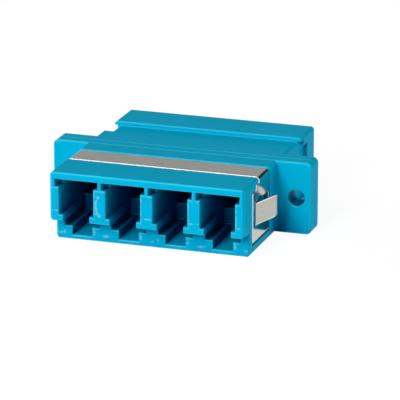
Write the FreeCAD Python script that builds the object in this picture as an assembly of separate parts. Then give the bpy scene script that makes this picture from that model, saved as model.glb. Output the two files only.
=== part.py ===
import FreeCAD, Part
import math
import os

# LC fibre adapter, four ports side by side. Two equal moulded halves meet at the
# middle of the flange. A half is drawn lying along +Y: its end face is at depth 0
# and the plane where the halves meet is at depth HALF_LENGTH. The finished part has
# its origin under the middle of the flange, +X along the row of ports, +Y towards
# the rear half and +Z up. All sizes are in millimetres.

# Ports: heights are stacked from the roof down to the floor.
PORT_COUNT = 4
PORT_PITCH = 6.25        # duplex spacing of this connector family
PORT_W = 4.6             # takes the 4.5 mm square plug body
PORT_H = 4.65
ROOF_T = 0.92            # wall above the ports
RAIL_H = 0.84            # latch rails on both sides, under the plug body
RAIL_GAP = 3.5
RAIL_LENGTH = 5.4        # the latch shoulders snap up behind the rails
POCKET_H = 1.23          # latch pocket under the rails, as wide as the port
POCKET_LENGTH = 9.4
SLOT_H = 1.17            # narrow slot below the pocket, for the latch arm
SLOT_W = 2.6
FLOOR_T = 0.59
SIDE_WALL_T = 1.225      # wall outside the first and the last port
MOUTH_W = 5.74           # wider mouth right under the roof
MOUTH_H = 1.0
MOUTH_DEPTH = 2.1
MOUTH_BEVEL = 0.12

# Half body
RIM_LENGTH = 6.0         # from the end face to the clip groove
GROOVE_LENGTH = 4.6      # clip groove, along the body
SHOULDER_LENGTH = 2.9    # from the clip groove to the flange
GROOVE_DEPTH = 0.6
STEP_DEPTH = 2.2         # the lower part of the end face stands back
BODY_EDGE_R = 0.3        # edges that run along the row of ports
BODY_BEVEL = 0.3         # around the body's two sides
GROOVE_BEVEL = 0.12
GROOVE_CORNER_R = 0.5    # where the groove turns down into the recess
RECESS_DEPTH = 0.55      # flat recess on each side, for the clip's side plate
RECESS_START = 3.3       # from the end face
RECESS_TOP = 1.25        # below the body's top
RECESS_BOTTOM = 1.1      # above the body's bottom
RECESS_NECK_START = 4.85 # upper step of the recess, from the end face
RECESS_NECK_TOP = 0.5    # below the body's top

# Flange, half of its thickness on each moulding
FLANGE_HALF_T = 1.6
FLANGE_PROUD = 0.06      # stands this far above and below the body
EAR_REACH = 4.58         # beyond the body's side
EAR_CORNER_R = 0.7
EAR_HOLE_D = 2.2
EAR_HOLE_INSET = 1.98    # hole centre from the ear's end
EAR_HOLE_BEVEL = 0.12
EAR_BEVEL = 0.15
EAR_ROOT_R = 0.25        # between the body's side and the flange
PARTING_BEVEL = 0.07     # leaves a fine line where the halves meet

# Sleeves, and the holders that are moulded behind each port
WEB_T = 1.3              # wall across the half, at the meeting plane
SLEEVE_D = 1.62
SLEEVE_BORE_D = 1.25     # the plug's ferrule slides in this
SLEEVE_LENGTH = 6.8
SLEEVE_SLIT = 0.35
SLEEVE_GAP = 0.04        # radial clearance, so that the sleeve floats
SLEEVE_END_GAP = 0.05
HOLDER_WALL = 0.45
HOLDER_LIP_T = 0.5       # keeps the sleeve in
HOLDER_LIP_BORE_D = 1.42
HOLDER_MOUTH_D = 1.92    # the lip's bore widens to this, to guide the ferrule in

# Peg and socket that line the halves up
PEG_D = 1.0
PEG_LENGTH = 0.8
PEG_GAP = 0.05           # around the peg and at its end

# Panel clip, bent from one strip of spring steel
SHEET_T = 0.4
CLIP_SEAT_GAP = 0.15     # under the strap and behind the side plates
STRAP_GAP = 0.2          # groove wall to strap, on both sides
CLIP_BEND_R = 0.15       # inside of the two bends
PLATE_START = 3.55       # from the end face
PLATE_TOP = 1.45         # below the body's top
PLATE_BOTTOM = 1.4       # above the body's bottom
NECK_START = 5.05        # step between the bend and the side plate, from the end face
NECK_TOP = 0.68          # below the body's top
PLATE_CORNER_R = 0.25
SHEET_BEVEL = 0.08       # broken edge that the blanking leaves
TONGUE_H = 2.8
TONGUE_TOP = 3.1         # below the body's top
TONGUE_ROOT = 4.65       # from the end face
TONGUE_BEND = 8.8        # from the end face
TONGUE_END = 9.5         # from the end face
TONGUE_ANGLE = 17.5      # degrees, outwards
LIP_ANGLE = 10.0         # degrees, outwards
TONGUE_BEND_R = 1.0
TONGUE_CORNER_R = 0.3
TONGUE_SLIT = 0.15       # above, below and behind the tongue

# Worked out from the sizes above
BODY_H = ROOF_T + PORT_H + RAIL_H + POCKET_H + SLOT_H + FLOOR_T
BODY_W = (PORT_COUNT - 1) * PORT_PITCH + PORT_W + 2 * SIDE_WALL_T
GROOVE_END = RIM_LENGTH + GROOVE_LENGTH
FLANGE_FRONT = GROOVE_END + SHOULDER_LENGTH
HALF_LENGTH = FLANGE_FRONT + FLANGE_HALF_T
SIDE_X = BODY_W / 2
BASE_Z = FLANGE_PROUD
TOP_Z = BASE_Z + BODY_H
FLANGE_H = BODY_H + 2 * FLANGE_PROUD
FLANGE_X = SIDE_X + EAR_REACH
EAR_HOLE_X = FLANGE_X - EAR_HOLE_INSET
CEILING_Z = TOP_Z - ROOF_T
STEP_Z = CEILING_Z - PORT_H - RAIL_H
PORT_Z = CEILING_Z - PORT_H / 2
PORT_XS = [(i - (PORT_COUNT - 1) / 2) * PORT_PITCH for i in range(PORT_COUNT)]
SLEEVE_SEAT_D = SLEEVE_D + 2 * SLEEVE_GAP
SLEEVE_SEAT = SLEEVE_LENGTH / 2 + SLEEVE_END_GAP
HOLDER_D = SLEEVE_SEAT_D + 2 * HOLDER_WALL
HOLDER_START = HALF_LENGTH - SLEEVE_SEAT - HOLDER_LIP_T
PEG_X = (PORT_XS[-1] + PORT_XS[-2]) / 2
CORE_X = SIDE_X - RECESS_DEPTH
CORE_Z = TOP_Z - GROOVE_DEPTH
CLIP_X = CORE_X + CLIP_SEAT_GAP + SHEET_T
CLIP_Z = CORE_Z + CLIP_SEAT_GAP + SHEET_T
STRAP_START = RIM_LENGTH + STRAP_GAP
STRAP_END = GROOVE_END - STRAP_GAP
OVER = 1.0               # how far a cutting shape runs past the face that it cuts
FLAT = 1e-4              # two lengths nearer than this are the same

V = FreeCAD.Vector


def box(x0, x1, y0, y1, z0, z1):
    return Part.makeBox(x1 - x0, y1 - y0, z1 - z0, V(x0, y0, z0))


def rod(x, z, diameter, y0, y1):
    """Round bar along Y."""
    return Part.makeCylinder(diameter / 2, y1 - y0, V(x, y0, z), V(0, 1, 0))


def cone(x, z, d0, d1, y0, y1):
    """Cone along Y, of diameter d0 at y0 and d1 at y1."""
    return Part.makeCone(d0 / 2, d1 / 2, y1 - y0, V(x, y0, z), V(0, 1, 0))


def on_plane_y(edge, y):
    """True where an edge lies at one depth."""
    bounds = edge.BoundBox
    return abs(bounds.YMin - y) < FLAT and abs(bounds.YMax - y) < FLAT


def stacked_section(x, y, top_z, steps, grow=0.0):
    """Outline across Y of boxes, each (width, height), stacked down from top_z.

    grow moves every side of the outline outwards by that much.
    """
    right = []
    z = top_z
    for i, (width, height) in enumerate(steps):
        above = steps[i - 1][0] if i else 0.0
        below = steps[i + 1][0] if i + 1 < len(steps) else 0.0
        upper = grow if width > above else -grow
        lower = grow if width > below else -grow
        right.append((width / 2 + grow, z + upper))
        right.append((width / 2 + grow, z - height - lower))
        z -= height
    points = [V(x + dx, y, pz) for dx, pz in right]
    points += [V(x - dx, y, pz) for dx, pz in reversed(right)]
    return Part.makePolygon(points + points[:1])


def stacked_cut(x, y0, y1, top_z, steps):
    """Cutting shape with a stacked section, from y0 to y1."""
    return Part.Face(stacked_section(x, y0, top_z, steps)).extrude(V(0, y1 - y0, 0))


def bevel_cut(x, y, top_z, steps):
    """Cutting shape that bevels the mouth of a stacked opening in a face at depth y."""
    wide = stacked_section(x, y - MOUTH_BEVEL, top_z, steps, 2 * MOUTH_BEVEL)
    narrow = stacked_section(x, y + MOUTH_BEVEL, top_z, steps)
    return Part.makeLoft([wide, narrow], True, True)


def stepped_body():
    """Stepped side profile drawn across the width, with its outer edges rounded."""
    outline = [
        V(-SIDE_X, 0, TOP_Z),
        V(-SIDE_X, HALF_LENGTH, TOP_Z),
        V(-SIDE_X, HALF_LENGTH, BASE_Z),
        V(-SIDE_X, STEP_DEPTH, BASE_Z),
        V(-SIDE_X, STEP_DEPTH, STEP_Z),
        V(-SIDE_X, 0, STEP_Z),
    ]
    profile = Part.Face(Part.makePolygon(outline + outline[:1]))
    solid = profile.extrude(V(BODY_W, 0, 0))
    across = [e for e in solid.Edges if e.BoundBox.XLength > FLAT and not on_plane_y(e, HALF_LENGTH)]
    solid = solid.makeFillet(BODY_EDGE_R, across)
    sides = [e for e in solid.Edges if e.BoundBox.XLength < FLAT and not on_plane_y(e, HALF_LENGTH)]
    return solid.makeChamfer(BODY_BEVEL, sides)


def clip_core(y0, y1, corner_r, clearance=0.0):
    """What the clip bends around: the body under the groove, between the recesses."""
    half_w = CORE_X + clearance
    solid = box(-half_w, half_w, y0, y1, BASE_Z - OVER, CORE_Z + clearance)
    corners = [
        e for e in solid.Edges
        if e.BoundBox.YLength > (y1 - y0) / 2 and e.BoundBox.ZMin > PORT_Z
    ]
    return solid.makeFillet(corner_r, corners)


def clip_groove():
    """Groove over the top that runs down both sides, and the recesses beside it."""
    bottom = BASE_Z + RECESS_BOTTOM
    side = SIDE_X + OVER
    strap = box(-side, side, RIM_LENGTH, GROOVE_END, bottom, TOP_Z + OVER)
    groove = strap.cut(clip_core(RIM_LENGTH - OVER, GROOVE_END + OVER, GROOVE_CORNER_R))
    for x0, x1 in ((-side, -CORE_X), (CORE_X, side)):
        groove = groove.fuse([
            box(x0, x1, RECESS_START, GROOVE_END, bottom, TOP_Z - RECESS_TOP),
            box(x0, x1, RECESS_NECK_START, GROOVE_END, bottom, TOP_Z - RECESS_NECK_TOP),
        ])
    return groove.removeSplitter()


def body_section(y, grow):
    """The body's outline across Y, every side moved outwards by grow."""
    cut = BODY_BEVEL + grow * (2 - math.sqrt(2))
    x = SIDE_X + grow
    z0 = BASE_Z - grow
    z1 = TOP_Z + grow
    right = [(x - cut, z0), (x, z0 + cut), (x, z1 - cut), (x - cut, z1)]
    points = [V(px, y, pz) for px, pz in right] + [V(-px, y, pz) for px, pz in reversed(right)]
    return Part.makePolygon(points + points[:1])


def groove_bevel(y, side):
    """Cutting shape that bevels a groove wall at depth y; side is 1 if the groove is behind it."""
    outside = y - side * 2 * GROOVE_BEVEL
    kept = Part.makeLoft([body_section(outside, GROOVE_BEVEL), body_section(y, -GROOVE_BEVEL)], True, True)
    x = SIDE_X + OVER
    y0, y1 = sorted((outside, y))
    return box(-x, x, y0, y1, BASE_Z + RECESS_BOTTOM, TOP_Z + OVER).cut(kept)


def grooved_body():
    """Body with its clip groove, the groove's outer edges slightly bevelled."""
    return stepped_body().cut([clip_groove(), groove_bevel(RIM_LENGTH, 1), groove_bevel(GROOVE_END, -1)])


def flange_plate():
    """Half of the flange, with rounded ears and a fine bevel at the meeting plane."""
    plate = box(-FLANGE_X, FLANGE_X, FLANGE_FRONT, HALF_LENGTH, 0, FLANGE_H)
    plate = plate.makeFillet(EAR_CORNER_R, [e for e in plate.Edges if e.BoundBox.YLength > FLAT])
    plate = plate.makeChamfer(EAR_BEVEL, [e for e in plate.Edges if on_plane_y(e, FLANGE_FRONT)])
    return plate.makeChamfer(PARTING_BEVEL, [e for e in plate.Edges if on_plane_y(e, HALF_LENGTH)])


def ear_hole(x):
    """Screw hole through an ear, bevelled on the flange's outer face."""
    z = FLANGE_H / 2
    hole = rod(x, z, EAR_HOLE_D, FLANGE_FRONT - OVER, HALF_LENGTH + OVER)
    wide = EAR_HOLE_D + 4 * EAR_HOLE_BEVEL
    y = FLANGE_FRONT
    return hole.fuse(cone(x, z, wide, EAR_HOLE_D, y - EAR_HOLE_BEVEL, y + EAR_HOLE_BEVEL))


def port_cut(x):
    """One port: plug bore, wide mouth, latch rails, latch pocket and latch slot."""
    mouth = (MOUTH_W, MOUTH_H)
    bore = (PORT_W, PORT_H)
    below_mouth = (PORT_W, PORT_H - MOUTH_H)
    rails = (RAIL_GAP, RAIL_H)
    pocket = (PORT_W, POCKET_H)
    slot = (SLOT_W, SLOT_H)
    behind_rails = (PORT_W, PORT_H + RAIL_H + POCKET_H)
    cut = stacked_cut(x, -OVER, RAIL_LENGTH, CEILING_Z, [bore, rails, pocket, slot])
    cut = cut.fuse([
        stacked_cut(x, -OVER, MOUTH_DEPTH, CEILING_Z, [mouth]),
        stacked_cut(x, RAIL_LENGTH, POCKET_LENGTH, CEILING_Z, [behind_rails, slot]),
        stacked_cut(x, POCKET_LENGTH, HALF_LENGTH - WEB_T, CEILING_Z, [bore]),
        bevel_cut(x, 0, CEILING_Z, [mouth, below_mouth, (RAIL_GAP, RAIL_H + OVER)]),
        bevel_cut(x, STEP_DEPTH, STEP_Z - 2 * MOUTH_BEVEL, [(PORT_W, POCKET_H - 2 * MOUTH_BEVEL), slot]),
    ])
    return cut


def sleeve_holder(x):
    """Tube on the web that holds one end of the sleeve."""
    return rod(x, PORT_Z, HOLDER_D, HOLDER_START, HALF_LENGTH - WEB_T / 2)


def sleeve_seat(x):
    """Bore for the sleeve, and the funnel through the lip at its end."""
    seat_start = HOLDER_START + HOLDER_LIP_T
    seat = rod(x, PORT_Z, SLEEVE_SEAT_D, seat_start, HALF_LENGTH + OVER)
    return seat.fuse(cone(x, PORT_Z, HOLDER_MOUTH_D, HOLDER_LIP_BORE_D, HOLDER_START, seat_start))


def peg():
    """Peg that stands on the meeting plane, on the +X side."""
    return rod(PEG_X, FLANGE_H / 2, PEG_D, HALF_LENGTH - WEB_T / 2, HALF_LENGTH + PEG_LENGTH)


def peg_socket():
    """Socket on the -X side, for the peg of the other half."""
    start = HALF_LENGTH - PEG_LENGTH - PEG_GAP
    return rod(-PEG_X, FLANGE_H / 2, PEG_D + 2 * PEG_GAP, start, HALF_LENGTH + OVER)


def ear_root():
    """Concave fillet between the body's side and the ear, on the +X side."""
    y = FLANGE_FRONT - EAR_ROOT_R
    x = SIDE_X + EAR_ROOT_R
    z0 = BASE_Z + BODY_BEVEL
    z1 = TOP_Z - BODY_BEVEL
    bar = box(SIDE_X - OVER, x, y, FLANGE_FRONT + FLANGE_HALF_T / 2, z0, z1)
    return bar.cut(Part.makeCylinder(EAR_ROOT_R, z1 - z0, V(x, y, z0)))


def housing_half():
    """One moulded half, its end face at depth 0."""
    root = ear_root()
    solid = grooved_body().fuse([flange_plate(), root, root.mirror(V(0, 0, 0), V(1, 0, 0))])
    solid = solid.removeSplitter().cut([port_cut(x) for x in PORT_XS])
    solid = solid.fuse([sleeve_holder(x) for x in PORT_XS] + [peg()])
    cuts = [sleeve_seat(x) for x in PORT_XS]
    cuts += [ear_hole(x) for x in (-EAR_HOLE_X, EAR_HOLE_X)]
    return solid.cut(cuts + [peg_socket()]).removeSplitter()


def alignment_sleeve(x):
    """Split ceramic sleeve, centred on the meeting plane, its slit on top."""
    half = SLEEVE_LENGTH / 2
    tube = rod(x, PORT_Z, SLEEVE_D, -half, half)
    tube = tube.cut(rod(x, PORT_Z, SLEEVE_BORE_D, -half - OVER, half + OVER))
    slit = box(x - SLEEVE_SLIT / 2, x + SLEEVE_SLIT / 2, -half - OVER, half + OVER, PORT_Z, PORT_Z + OVER)
    return tube.cut(slit)


def clip_band():
    """Folded strip before its tongues are cut: strap, two bends, two side plates."""
    bottom = BASE_Z + PLATE_BOTTOM
    outline = [
        V(0, PLATE_START, bottom),
        V(0, PLATE_START, TOP_Z - PLATE_TOP),
        V(0, NECK_START, TOP_Z - PLATE_TOP),
        V(0, NECK_START, TOP_Z - NECK_TOP),
        V(0, STRAP_START, TOP_Z - NECK_TOP),
        V(0, STRAP_START, TOP_Z + OVER),
        V(0, STRAP_END, TOP_Z + OVER),
        V(0, STRAP_END, bottom),
    ]
    side_view = Part.Face(Part.makePolygon(outline + outline[:1])).extrude(V(SIDE_X + OVER, 0, 0))
    corners = [e for e in side_view.Edges if e.BoundBox.XLength > OVER and e.BoundBox.ZMax < TOP_Z]
    side_view = side_view.makeFillet(PLATE_CORNER_R, corners)
    silhouette = side_view.fuse(side_view.mirror(V(0, 0, 0), V(1, 0, 0)))
    gap = CLIP_SEAT_GAP
    sheet = clip_core(PLATE_START - OVER, STRAP_END + OVER, CLIP_BEND_R + SHEET_T, gap + SHEET_T)
    sheet = sheet.cut(clip_core(PLATE_START - 2 * OVER, STRAP_END + 2 * OVER, CLIP_BEND_R, gap))
    return sheet.common(silhouette).removeSplitter()


def on_clip_outside(point):
    """True where a point lies on the outer skin of the folded strip."""
    radius = CLIP_BEND_R + SHEET_T
    dx = abs(point.x) - (CLIP_X - radius)
    dz = point.z - (CLIP_Z - radius)
    if dx > 0 and dz > 0:
        return abs(math.hypot(dx, dz) - radius) < FLAT
    return abs(dx - radius) < FLAT or abs(dz - radius) < FLAT


def break_edges(band):
    """Bevel the outline of the strip's outer skin, as the blanking leaves it."""
    skin = []
    for face in band.Faces:
        u0, u1, v0, v1 = face.ParameterRange
        middle = face.valueAt((u0 + u1) / 2, (v0 + v1) / 2)
        if on_clip_outside(middle):
            skin.append(face)
    skin_edges = [e for face in skin for e in face.Edges]
    outline = [e for e in skin_edges if sum(e.isSame(other) for other in skin_edges) == 1]
    return band.makeChamfer(SHEET_BEVEL, outline)


def sheet_outline(points, z):
    """Closed outline at height z of a sheet whose outer face follows points in X and Y."""
    normals = []
    for (x0, y0), (x1, y1) in zip(points, points[1:]):
        length = math.hypot(x1 - x0, y1 - y0)
        normals.append(((y0 - y1) / length, (x1 - x0) / length))
    inner = []
    for i, (x, y) in enumerate(points):
        ax, ay = normals[max(i - 1, 0)]
        bx, by = normals[min(i, len(normals) - 1)]
        mitre = SHEET_T / (1 + ax * bx + ay * by)
        inner.append((x + (ax + bx) * mitre, y + (ay + by) * mitre))
    loop = points + inner[::-1]
    return Part.makePolygon([V(x, y, z) for x, y in loop + loop[:1]])


def tongue():
    """Lanced tongue of the +X side: flared outwards, with a flatter lip at its end."""
    flare = math.tan(math.radians(TONGUE_ANGLE))
    lip = math.tan(math.radians(LIP_ANGLE))
    bend_y = TONGUE_ROOT + (TONGUE_BEND_R + SHEET_T) * math.tan(math.radians(TONGUE_ANGLE / 2))
    bend_x = CLIP_X + flare * (TONGUE_BEND - bend_y)
    end_x = bend_x + lip * (TONGUE_END - TONGUE_BEND)
    path = [(CLIP_X, TONGUE_ROOT - SHEET_T), (CLIP_X, bend_y), (bend_x, TONGUE_BEND), (end_x, TONGUE_END)]
    bottom = TOP_Z - TONGUE_TOP - TONGUE_H
    solid = Part.Face(sheet_outline(path, bottom)).extrude(V(0, 0, TONGUE_H))
    upright = [e for e in solid.Edges if e.BoundBox.ZLength > TONGUE_H / 2]
    upright.sort(key=lambda e: e.CenterOfMass.y)
    first = sorted(upright[2:4], key=lambda e: e.CenterOfMass.x)
    second = sorted(upright[4:6], key=lambda e: e.CenterOfMass.x)
    solid = solid.makeFillet(TONGUE_BEND_R, [first[1], second[0]])
    wide = [e for e in solid.Edges if any(
        e.BoundBox.ZLength > TONGUE_H / 2 and e.CenterOfMass.isEqual(old.CenterOfMass, FLAT)
        for old in (first[0], second[1]))]
    solid = solid.makeFillet(TONGUE_BEND_R + SHEET_T, wide)
    corners = [e for e in solid.Edges if e.BoundBox.ZLength < FLAT
               and e.BoundBox.YMin > TONGUE_END - SHEET_T and abs(e.Length - SHEET_T) < FLAT]
    return solid.makeFillet(TONGUE_CORNER_R, corners)


def tongue_window():
    """Hole of the +X side that the tongue leaves, as long as the tongue laid flat."""
    flare = (TONGUE_BEND - TONGUE_ROOT) / math.cos(math.radians(TONGUE_ANGLE))
    lip = (TONGUE_END - TONGUE_BEND) / math.cos(math.radians(LIP_ANGLE))
    end = TONGUE_ROOT + flare + lip + TONGUE_SLIT
    bottom = TOP_Z - TONGUE_TOP - TONGUE_H - TONGUE_SLIT
    top = TOP_Z - TONGUE_TOP + TONGUE_SLIT
    return box(CORE_X - OVER, CLIP_X + OVER, TONGUE_ROOT, end, bottom, top)


def panel_clip():
    """Spring clip over the front half, with a tongue on each side that holds the panel."""
    across = (V(0, 0, 0), V(1, 0, 0))
    solid = break_edges(clip_band())
    solid = solid.cut([tongue_window(), tongue_window().mirror(*across)])
    return solid.fuse([tongue(), tongue().mirror(*across)]).removeSplitter()


def in_front(shape):
    return shape.translated(V(0, -HALF_LENGTH, 0))


def behind(shape):
    """Place a half behind the meeting plane, turned half a turn about Z."""
    turned = shape.rotated(V(0, 0, 0), V(0, 0, 1), 180)
    return turned.translated(V(0, HALF_LENGTH, 0))


def main():
    half = housing_half()
    nodes = {
        "front_housing": in_front(half),
        "rear_housing": behind(half),
        "panel_clip": in_front(panel_clip()),
    }
    for i, x in enumerate(PORT_XS):
        nodes["alignment_sleeve_%d" % (i + 1)] = alignment_sleeve(x)
    os.makedirs("parts", exist_ok=True)
    for name, shape in nodes.items():
        shape.exportStep("parts/%s.step" % name)
        print(name, len(shape.Solids), "solid", round(shape.Volume, 2), "mm3", shape.isValid())


main()
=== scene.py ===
import bpy
import numpy as np
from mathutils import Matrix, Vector


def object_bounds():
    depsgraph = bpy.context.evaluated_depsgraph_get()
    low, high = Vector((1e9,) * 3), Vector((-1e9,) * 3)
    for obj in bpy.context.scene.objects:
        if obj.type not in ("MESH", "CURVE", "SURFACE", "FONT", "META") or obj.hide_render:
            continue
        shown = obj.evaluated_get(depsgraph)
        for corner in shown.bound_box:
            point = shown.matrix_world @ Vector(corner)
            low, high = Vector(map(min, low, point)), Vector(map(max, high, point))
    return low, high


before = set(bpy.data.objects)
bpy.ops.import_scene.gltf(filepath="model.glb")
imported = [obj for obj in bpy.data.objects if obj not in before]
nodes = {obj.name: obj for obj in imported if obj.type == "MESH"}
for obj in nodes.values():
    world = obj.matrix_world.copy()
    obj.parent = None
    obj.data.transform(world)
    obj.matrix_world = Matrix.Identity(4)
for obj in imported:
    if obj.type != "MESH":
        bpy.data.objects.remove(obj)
cad_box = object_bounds()


# --- Housing halves -----------------------------------------------------------
# The two halves are one moulding used twice, in blue PBT, a hard polyester that
# keeps its size. It is injection moulded in a lightly spark-eroded tool, and the
# halves are welded to each other at the middle of the flange.

PBT_BLUE = "#00B0D8"
PBT_DEEP = "#00A8CE"      # where the colour is a little denser
PBT_EDGE_HIGHLIGHT = "#7CC4D2"      # painted highlight, pale along the edges
PBT_GLINTS_AND_MARKS = "#B4D8E0"    # painted glints on the webs, and pale marks
PBT_SHADE = "#003A7C"     # painted shade deep inside a port
PBT_SLANT_HIGHLIGHT = "#34C8E6"  # painted highlight on slanted edges that catch the light
EDGE_HIGHLIGHT_SHARE = 0.3           # how much of the painted highlight an edge takes
EDGE_ROUND = 0.0002
EDGE_LEAN = (0.995, 0.80)  # cosines: the painted highlight starts at the first, is full at the second
# The slanted edges brighten by how far the normal points along Y times how far up: from
# the first value, fully at the second. An edge at 45 degrees has 0.5.
SLANT = (0.25, 0.48)

SHADE_DISTANCE = 0.02      # walls farther off than this shade nothing
SHADE_RANGE = (0.20, 0.46)  # openness of the darkest place, and where the shade ends
SHADE_LEFT = 0.12          # share of the blue that is left in the darkest place
LIGHT_PER_METRE_UP = 30    # openness gained with height
RAIL_TOP = 0.0040
UPWARD_LIGHT = (0.38, -0.12)  # openness gained by faces that look up, low down and at RAIL_TOP

PORT_PITCH = 0.00625
STEP_DEPTH = 0.0022
END_FACE = cad_box[1][1]
STEP_FACE = END_FACE - STEP_DEPTH  # the lower part of the end stands back
FACE_SKIN = 0.00006        # marks lie this close to their face
# Each mark: its middle across from the web's, its half width, its height, its half
# height, the face that it lies on and how pale it is.
# the three on the end face are painted glints: a line down each web's left edge and two lines across the
# web
GLINTS_AND_MARKS = (
    (-0.00074, 0.00009, 0.0059, 0.0016, END_FACE, 0.40),
    (0.0, 0.0006, 0.00445, 0.00008, END_FACE, 0.30),
    (0.0, 0.0005, 0.0074, 0.00007, END_FACE, 0.18),
    (0.0001, 0.00035, 0.00087, 0.00013, STEP_FACE, 0.40),
    (-0.00150, 0.00012, 0.0012, 0.0003, STEP_FACE, 0.28),
    (0.0008, 0.0001, 0.0010, 0.00022, STEP_FACE, 0.28),
)
SCRAPE_PLACE = (-0.00612, 0.0056)  # across and up, the middle of its ellipse
SCRAPE_SIZE = (0.00060, 0.00130)   # the ellipse's half width and half height
SCRAPE_WIDTH = 0.16                # half, as a share of the ellipse
SCRAPE_PALE = 0.50


def srgb(hex_colour):
    """sRGB hex to linear RGBA: each channel c is c/12.92 near black, otherwise
    ((c + 0.055) / 1.055) to the power 2.4."""
    c = np.array([int(hex_colour[i:i + 2], 16) for i in (1, 3, 5)]) / 255
    linear = np.where(c <= 0.04045, c / 12.92, ((c + 0.055) / 1.055) ** 2.4)
    return (*linear.tolist(), 1.0)


def new_material(name):
    """The emptied node tree of a new material."""
    material = bpy.data.materials.new(name)
    material.use_nodes = True
    material.node_tree.nodes.clear()
    return material.node_tree


def add(tree, kind, settings=None, **inputs):
    """Add a node. settings are its properties; inputs are socket values, or the
    output socket of another node to link from. A socket is given by its name, with _
    for a space, or as i0, i1 and so on by its number."""
    node = tree.nodes.new(kind)
    for key, value in (settings or {}).items():
        setattr(node, key, value)
    for key, value in inputs.items():
        if key[0] == "i" and key[1:].isdigit():
            socket = node.inputs[int(key[1:])]
        else:
            socket = node.inputs[key.replace("_", " ")]
        if isinstance(value, bpy.types.NodeSocket):
            tree.links.new(value, socket)
        else:
            socket.default_value = value
    return node


def dress(node_names, material):
    """Give every slot of the named CAD nodes one material."""
    for name in node_names:
        mesh = nodes[name].data
        mesh.materials.clear()
        mesh.materials.append(material)


def band(tree, value, middle, half):
    """1 where the value lies within 0.6 of half from the middle, falling to 0 at 1.6."""
    off = add(tree, "ShaderNodeMath", {"operation": "SUBTRACT"}, i0=value, i1=middle)
    off = add(tree, "ShaderNodeMath", {"operation": "ABSOLUTE"}, i0=off.outputs[0])
    inside = add(tree, "ShaderNodeMapRange", Value=off.outputs[0], From_Min=1.6 * half, From_Max=0.6 * half)
    return inside.outputs["Result"]


def product(tree, first, *others):
    """The product of several node outputs or numbers."""
    for other in others:
        first = add(tree, "ShaderNodeMath", {"operation": "MULTIPLY"}, i0=first, i1=other).outputs[0]
    return first


def glints_and_pale_marks(tree, place):
    """How pale the plastic is drawn, from 0 to 1: painted glints on the webs, and pale marks. Each mark is
    a band across times a band up, on one of the faces at both ends, repeated with the ports. One curved
    scrape on the front is a band around an ellipse, cut off to its left half."""
    axes = add(tree, "ShaderNodeSeparateXYZ", Vector=place).outputs
    from_web = add(tree, "ShaderNodeMath", {"operation": "WRAP"}, i0=axes["X"],
                   i1=PORT_PITCH / 2, i2=-PORT_PITCH / 2)
    end = add(tree, "ShaderNodeMath", {"operation": "ABSOLUTE"}, i0=axes["Y"]).outputs[0]
    # the glints and marks are broken up, every half millimetre or so
    patches = add(tree, "ShaderNodeTexNoise", Vector=place, Scale=1800.0, Detail=1.0)
    patchy = add(tree, "ShaderNodeMapRange", Value=patches.outputs["Fac"],
                 From_Min=0.38, From_Max=0.62).outputs["Result"]
    marks = []
    for across, half_across, up, half_up, face, strength in GLINTS_AND_MARKS:
        marks.append(product(tree, band(tree, from_web.outputs[0], across, half_across),
                             band(tree, axes["Z"], up, half_up), band(tree, end, face, FACE_SKIN),
                             patchy, strength))
    # the scrape's ellipse becomes a circle of radius 1 around its own middle
    wide = add(tree, "ShaderNodeMath", {"operation": "MULTIPLY_ADD"}, i0=axes["X"], i1=1 / SCRAPE_SIZE[0],
               i2=-SCRAPE_PLACE[0] / SCRAPE_SIZE[0])
    high = add(tree, "ShaderNodeMath", {"operation": "MULTIPLY_ADD"}, i0=axes["Z"], i1=1 / SCRAPE_SIZE[1],
               i2=-SCRAPE_PLACE[1] / SCRAPE_SIZE[1])
    around = add(tree, "ShaderNodeCombineXYZ", X=wide.outputs[0], Y=high.outputs[0])
    around = add(tree, "ShaderNodeVectorMath", {"operation": "LENGTH"}, i0=around.outputs[0])
    left = add(tree, "ShaderNodeMapRange", Value=wide.outputs[0], From_Min=0.5, From_Max=-0.2)
    front = band(tree, axes["Y"], -END_FACE, FACE_SKIN)
    marks.append(product(tree, band(tree, around.outputs["Value"], 1.0, SCRAPE_WIDTH),
                         left.outputs["Result"], front, patchy, SCRAPE_PALE))
    most = marks[0]
    for mark in marks[1:]:
        most = add(tree, "ShaderNodeMath", {"operation": "MAXIMUM"}, i0=most, i1=mark).outputs[0]
    return most


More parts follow.
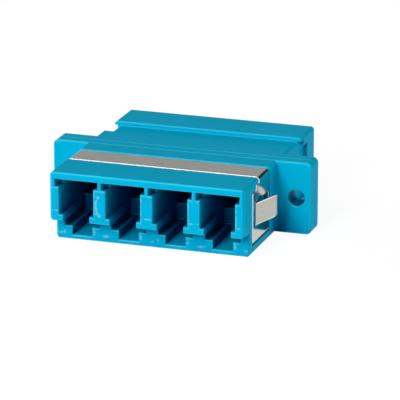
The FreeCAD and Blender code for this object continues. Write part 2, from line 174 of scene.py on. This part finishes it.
def pbt_blue():
    """Moulded PBT with an eroded grain: it gives the eye an even, strong blue with
    soft edges, painted highlights on its edges and webs, pale marks, and painted shade that makes it nearly
    black deep in the ports."""
    tree = new_material("pbt_blue_moulded")
    place = add(tree, "ShaderNodeTexCoord").outputs["Object"]
    # the colour is a little uneven, over some 6 mm, as the mould filled
    flow = add(tree, "ShaderNodeTexNoise", Vector=place, Scale=160.0, Detail=2.0)
    colour = add(tree, "ShaderNodeMix", {"data_type": "RGBA"}, i0=flow.outputs["Fac"],
                 i6=srgb(PBT_BLUE), i7=srgb(PBT_DEEP))
    # mould edges are never sharp: the shading turns over 0.2 mm
    rounded = add(tree, "ShaderNodeBevel", {"samples": 6}, Radius=EDGE_ROUND)
    # how far the rounded normal leans from the face's own, 0 on flats and 1 on edges
    true = add(tree, "ShaderNodeNewGeometry").outputs["Normal"]
    lean = add(tree, "ShaderNodeVectorMath", {"operation": "DOT_PRODUCT"}, i0=rounded.outputs[0], i1=true)
    edge = add(tree, "ShaderNodeMapRange", Value=lean.outputs["Value"],
               From_Min=EDGE_LEAN[0], From_Max=EDGE_LEAN[1])
    # painted highlight: edges are drawn paler where the rounded normal leans
    edge_highlight = product(tree, edge.outputs["Result"], EDGE_HIGHLIGHT_SHARE)
    colour = add(tree, "ShaderNodeMix", {"data_type": "RGBA"}, i0=edge_highlight,
                 i6=colour.outputs["Result"], i7=srgb(PBT_EDGE_HIGHLIGHT))
    colour = add(tree, "ShaderNodeMix", {"data_type": "RGBA"}, i0=glints_and_pale_marks(tree, place),
                 i6=colour.outputs["Result"], i7=srgb(PBT_GLINTS_AND_MARKS))
    # little light gets deep into a port; the colour itself is darkened there, on top of
    # the true shade, by how open a place is, less where a face looks up low in the port
    # and less with height
    open_sky = add(tree, "ShaderNodeAmbientOcclusion", {"samples": 8}, Distance=SHADE_DISTANCE)
    upward = add(tree, "ShaderNodeSeparateXYZ", Vector=true).outputs["Z"]
    upward = add(tree, "ShaderNodeMath", {"operation": "MAXIMUM"}, i0=upward, i1=0.0)
    height = add(tree, "ShaderNodeSeparateXYZ", Vector=place).outputs["Z"]
    gain = add(tree, "ShaderNodeMapRange", Value=height, From_Min=0.0, From_Max=RAIL_TOP,
               To_Min=UPWARD_LIGHT[0], To_Max=UPWARD_LIGHT[1])
    reach = add(tree, "ShaderNodeMath", {"operation": "MULTIPLY_ADD"}, i0=upward.outputs[0],
                i1=gain.outputs["Result"], i2=open_sky.outputs["AO"])
    reach = add(tree, "ShaderNodeMath", {"operation": "MULTIPLY_ADD"}, i0=height, i1=LIGHT_PER_METRE_UP,
                i2=reach.outputs[0])
    reach = add(tree, "ShaderNodeMapRange", Value=reach.outputs[0],
                From_Min=SHADE_RANGE[0], From_Max=SHADE_RANGE[1], To_Min=SHADE_LEFT, To_Max=1.0)
    colour = add(tree, "ShaderNodeMix", {"data_type": "RGBA"}, i0=reach.outputs["Result"],
                 i6=srgb(PBT_SHADE), i7=colour.outputs["Result"])
    # painted highlight: edges and fillets along the row are drawn brighter, as they catch more light
    facing = add(tree, "ShaderNodeSeparateXYZ", Vector=rounded.outputs[0]).outputs
    slant = product(tree, facing["Y"], facing["Z"])
    slant = add(tree, "ShaderNodeMath", {"operation": "ABSOLUTE"}, i0=slant)
    slant = add(tree, "ShaderNodeMapRange", Value=slant.outputs[0], From_Min=SLANT[0], From_Max=SLANT[1])
    colour = add(tree, "ShaderNodeMix", {"data_type": "RGBA"}, i0=slant.outputs["Result"],
                 i6=colour.outputs["Result"], i7=srgb(PBT_SLANT_HIGHLIGHT))
    # spark-eroded grain, drawn 0.3 mm where the real one is about 0.1, so that it shows
    grain = add(tree, "ShaderNodeTexNoise", Vector=place, Scale=3300.0, Detail=2.0)
    bump = add(tree, "ShaderNodeBump", Height=grain.outputs["Fac"], Strength=0.12, Distance=0.00004,
               Normal=rounded.outputs[0])
    # hardly any gloss, so that the white room doesn't grey the blue
    shader = add(tree, "ShaderNodeBsdfPrincipled", Base_Color=colour.outputs["Result"],
                 Normal=bump.outputs["Normal"], Roughness=0.30, IOR=1.5, Specular_IOR_Level=0.004)
    add(tree, "ShaderNodeOutputMaterial", Surface=shader.outputs["BSDF"])
    return bpy.data.materials["pbt_blue_moulded"]


dress(("front_housing", "rear_housing"), pbt_blue())


# --- Alignment sleeves --------------------------------------------------------
# Four split tubes of ground zirconia, one in each channel, that hold the two
# ferrules in line. They float in the holders of the two halves.

ZIRCONIA = "#E9E5DA"


def zirconia():
    """Ground zirconia: a hard ceramic that gives the eye a warm white with a sharp
    gloss, deep behind the ports."""
    tree = new_material("zirconia_ground")
    place = add(tree, "ShaderNodeTexCoord").outputs["Object"]
    # centreless grinding leaves a fine, close texture
    marks = add(tree, "ShaderNodeTexNoise", Vector=place, Scale=20000.0, Detail=1.0)
    bump = add(tree, "ShaderNodeBump", Height=marks.outputs["Fac"], Strength=0.1, Distance=0.00001)
    shader = add(tree, "ShaderNodeBsdfPrincipled", Base_Color=srgb(ZIRCONIA),
                 Normal=bump.outputs["Normal"], Roughness=0.18, IOR=2.1)
    add(tree, "ShaderNodeOutputMaterial", Surface=shader.outputs["BSDF"])
    return bpy.data.materials["zirconia_ground"]


dress([name for name in nodes if name.startswith("alignment_sleeve")], zirconia())


# --- Panel clip ---------------------------------------------------------------
# One strip of bright-rolled stainless spring steel, 0.4 mm thick, bent over the
# front half. It is held by the groove, and its tongues spring out behind a panel.

STEEL = "#C2C2BA"
STEEL_DULL = "#ABADA6"     # along the rolled lines
STEEL_EDGE_HIGHLIGHT = "#F6F8F4"     # painted highlight along the edges
SHEARED_ROUND = 0.00025
EDGE_HIGHLIGHT_LEAN = (0.999, 0.90)  # cosines: the painted highlight starts at the first, is full at the second
STRIP_ROUGHNESS = (0.07, 0.15)


def stainless_strip():
    """Bright-rolled stainless strip: it gives the eye a warm grey mirror, slightly
    drawn out along the strip, with a painted highlight along its edges."""
    tree = new_material("stainless_spring_strip")
    place = add(tree, "ShaderNodeTexCoord").outputs["Object"]
    # rolling draws faint lines along the strip, about 0.1 mm apart
    stretched = add(tree, "ShaderNodeMapping", Vector=place, Scale=(1.0, 14.0, 14.0))
    lines = add(tree, "ShaderNodeTexNoise", Vector=stretched.outputs["Vector"], Scale=700.0, Detail=3.0)
    streaks = add(tree, "ShaderNodeMapRange", Value=lines.outputs["Fac"], From_Min=0.3, From_Max=0.7)
    # cloudier patches, of a few millimetres, blur the mirror more
    clouds = add(tree, "ShaderNodeTexNoise", Vector=place, Scale=260.0, Detail=2.0)
    tone = add(tree, "ShaderNodeMix", {"data_type": "RGBA"}, i0=streaks.outputs["Result"],
               i6=srgb(STEEL_DULL), i7=srgb(STEEL))
    rough = add(tree, "ShaderNodeMapRange", Value=clouds.outputs["Fac"], From_Min=0.3, From_Max=0.7,
                To_Min=STRIP_ROUGHNESS[0], To_Max=STRIP_ROUGHNESS[1])
    # the strip was sheared and tumbled, so the shading of its edges turns over 0.25 mm
    rounded = add(tree, "ShaderNodeBevel", {"samples": 6}, Radius=SHEARED_ROUND)
    true = add(tree, "ShaderNodeNewGeometry").outputs["Normal"]
    lean = add(tree, "ShaderNodeVectorMath", {"operation": "DOT_PRODUCT"}, i0=rounded.outputs[0], i1=true)
    edge = add(tree, "ShaderNodeMapRange", Value=lean.outputs["Value"],
               From_Min=EDGE_HIGHLIGHT_LEAN[0], From_Max=EDGE_HIGHLIGHT_LEAN[1])
    # painted highlight: the edges are drawn near white where the rounded normal leans
    tone = add(tree, "ShaderNodeMix", {"data_type": "RGBA"}, i0=edge.outputs["Result"],
               i6=tone.outputs["Result"], i7=srgb(STEEL_EDGE_HIGHLIGHT))
    bump = add(tree, "ShaderNodeBump", Height=lines.outputs["Fac"], Strength=0.06, Distance=0.00001,
               Normal=rounded.outputs[0])
    shader = add(tree, "ShaderNodeBsdfPrincipled", Base_Color=tone.outputs["Result"], Metallic=1.0,
                 Normal=bump.outputs["Normal"], Roughness=rough.outputs["Result"])
    add(tree, "ShaderNodeOutputMaterial", Surface=shader.outputs["BSDF"])
    return bpy.data.materials["stainless_spring_strip"]


dress(["panel_clip"], stainless_strip())


# --- Floor, light and camera --------------------------------------------------
# A white table in a white room. Eight soft lamps light the part from low and half
# high places, most of it from the left and the front. Cards that only mirrors show
# stand behind it and give the steel its tone.

TABLE_WHITE = "#F4F4F4"
TABLE_HALF = 4
SHADED_SHARE = 0.12  # how much of the shadows the table shows
WHITE_SHARE = 0.93
CARD_AWAY = 1.3


def card(name, corners, material):
    """A flat four-sided sheet through the given corners, part of the studio."""
    mesh = bpy.data.meshes.new(name)
    mesh.from_pydata(corners, [], [(0, 1, 2, 3)])
    mesh.materials.append(material)
    sheet = bpy.data.objects.new(name, mesh)
    bpy.context.scene.collection.objects.link(sheet)
    return sheet


def seen_directly(tree):
    """1 for a ray that shows the surface itself: from the camera, or by way of a
    mirror or glass."""
    rays = add(tree, "ShaderNodeLightPath")
    mirror = add(tree, "ShaderNodeMath", {"operation": "MAXIMUM"},
                 i0=rays.outputs["Is Camera Ray"], i1=rays.outputs["Is Glossy Ray"])
    return add(tree, "ShaderNodeMath", {"operation": "MAXIMUM"},
               i0=mirror.outputs[0], i1=rays.outputs["Is Transmission Ray"]).outputs[0]


def floor_material():
    """A matt white table top: it gives the eye plain white with a faint shadow."""
    tree = new_material("white_table")
    matt = add(tree, "ShaderNodeBsdfDiffuse", Color=srgb(TABLE_WHITE))
    # seen directly the table is white, and only a share of it shows the shadows
    shaded = add(tree, "ShaderNodeBsdfDiffuse", Color=(*(SHADED_SHARE,) * 3, 1.0))
    white = add(tree, "ShaderNodeEmission", Color=(1, 1, 1, 1), Strength=WHITE_SHARE)
    both = add(tree, "ShaderNodeAddShader", i0=shaded.outputs[0], i1=white.outputs[0])
    surface = add(tree, "ShaderNodeMixShader", Fac=seen_directly(tree),
                  i1=matt.outputs[0], i2=both.outputs[0])
    add(tree, "ShaderNodeOutputMaterial", Surface=surface.outputs[0])
    return bpy.data.materials["white_table"]


card("floor", [(across * TABLE_HALF, along * TABLE_HALF, 0)
               for across, along in ((-1, -1), (1, -1), (1, 1), (-1, 1))], floor_material())


def room_card(name, hex_colour, glow):
    """A card that only mirrors show, in one even tone; a glow of 1 is a lit white wall.
    It neither lights the part nor stands in anybody's way."""
    tree = new_material(name)
    tone = add(tree, "ShaderNodeEmission", Color=srgb(hex_colour), Strength=glow)
    clear = add(tree, "ShaderNodeBsdfTransparent")
    mirrored = add(tree, "ShaderNodeLightPath").outputs["Is Glossy Ray"]
    surface = add(tree, "ShaderNodeMixShader", Fac=mirrored, i1=clear.outputs[0], i2=tone.outputs[0])
    add(tree, "ShaderNodeOutputMaterial", Surface=surface.outputs[0])
    return bpy.data.materials[name]


def standing_card(name, first, last, low, high, away, hex_colour, glow=1.0):
    """An upright card. first and last are the angles of its ends around the part, from
    the front and anticlockwise seen from above, in degrees; low and high are the angles
    of its lower and upper edge above the table; away is how far off its ends stand."""
    ends = [(away * np.sin(a), -away * np.cos(a)) for a in np.radians([first, last])]
    bottom, top = away * np.tan(np.radians(low)), away * np.tan(np.radians(high))
    card(name, [(*ends[0], bottom), (*ends[1], bottom), (*ends[1], top), (*ends[0], top)],
         room_card(name, hex_colour, glow))


# the strap's flat shows the grey card, its right bend the dark one, and its front edge
# the bright one, which draws a white line there
standing_card("grey_card", 182, 225, 6, 28, CARD_AWAY, "#BBBBBB")
standing_card("dark_card", 140, 180, 3, 28, CARD_AWAY, "#303030")
standing_card("bright_card", 182, 250, 38, 62, CARD_AWAY, "#FFFFFF", 4.0)

# the room's air is white where it is seen, and lights nothing
world = bpy.data.worlds.new("room")
bpy.context.scene.world = world
world.use_nodes = True
room = world.node_tree
room.nodes.clear()
air = add(room, "ShaderNodeBackground", Color=(1, 1, 1, 1), Strength=seen_directly(room))
add(room, "ShaderNodeOutputWorld", Surface=air.outputs[0])


LIT_POINT = Vector((0, 0, 0.005))
LAMP_AWAY = 0.8


def soft_box(name, around, above, size, power):
    """A square area lamp that faces the part, at an angle around it from the front,
    anticlockwise seen from above, and an angle above the table, in degrees. Its size
    is in metres and its power in watts."""
    lamp = bpy.data.lights.new(name, "AREA")
    lamp.shape = "SQUARE"
    lamp.size = size
    lamp.energy = power
    box = bpy.data.objects.new(name, lamp)
    bpy.context.scene.collection.objects.link(box)
    turn, rise = np.radians([around, above])
    away = LAMP_AWAY * Vector((np.sin(turn) * np.cos(rise), -np.cos(turn) * np.cos(rise), np.sin(rise)))
    box.location = LIT_POINT + away
    box.rotation_euler = (-away).to_track_quat("-Z", "Y").to_euler()
    # the steel mirrors the room and its cards, and not the lamp's own white square
    box.visible_glossy = False


soft_box("left_soft_box", -90, 15, 0.30, 3.76)
soft_box("front_soft_box", -8, 35, 0.30, 2.75)
soft_box("right_back_soft_box", 115, 15, 0.30, 2.15)
soft_box("low_front_soft_box", -8, 20, 0.20, 2.12)
soft_box("left_front_spot", -45, 8, 0.20, 0.80)
soft_box("right_spot", 75, 8, 0.20, 0.65)
soft_box("top_front_soft_box", -8, 55, 0.30, 0.33)
soft_box("back_spot", 140, 8, 0.20, 0.25)

# a long lens from 0.45 m away, to the right of the front and looking down on the part
EYE = (0.13787, -0.40442, 0.13715)
AIM = Vector((0.002083, -0.000079, 0.002719))
camera = bpy.data.cameras.new("camera")
camera.sensor_width = 36.0
camera.lens = 311.94
eye = bpy.data.objects.new("camera", camera)
bpy.context.scene.collection.objects.link(eye)
eye.location = EYE
eye.rotation_euler = (AIM - eye.location).to_track_quat("-Z", "Y").to_euler()
bpy.context.scene.camera = eye

bpy.context.scene.view_settings.view_transform = "Standard"
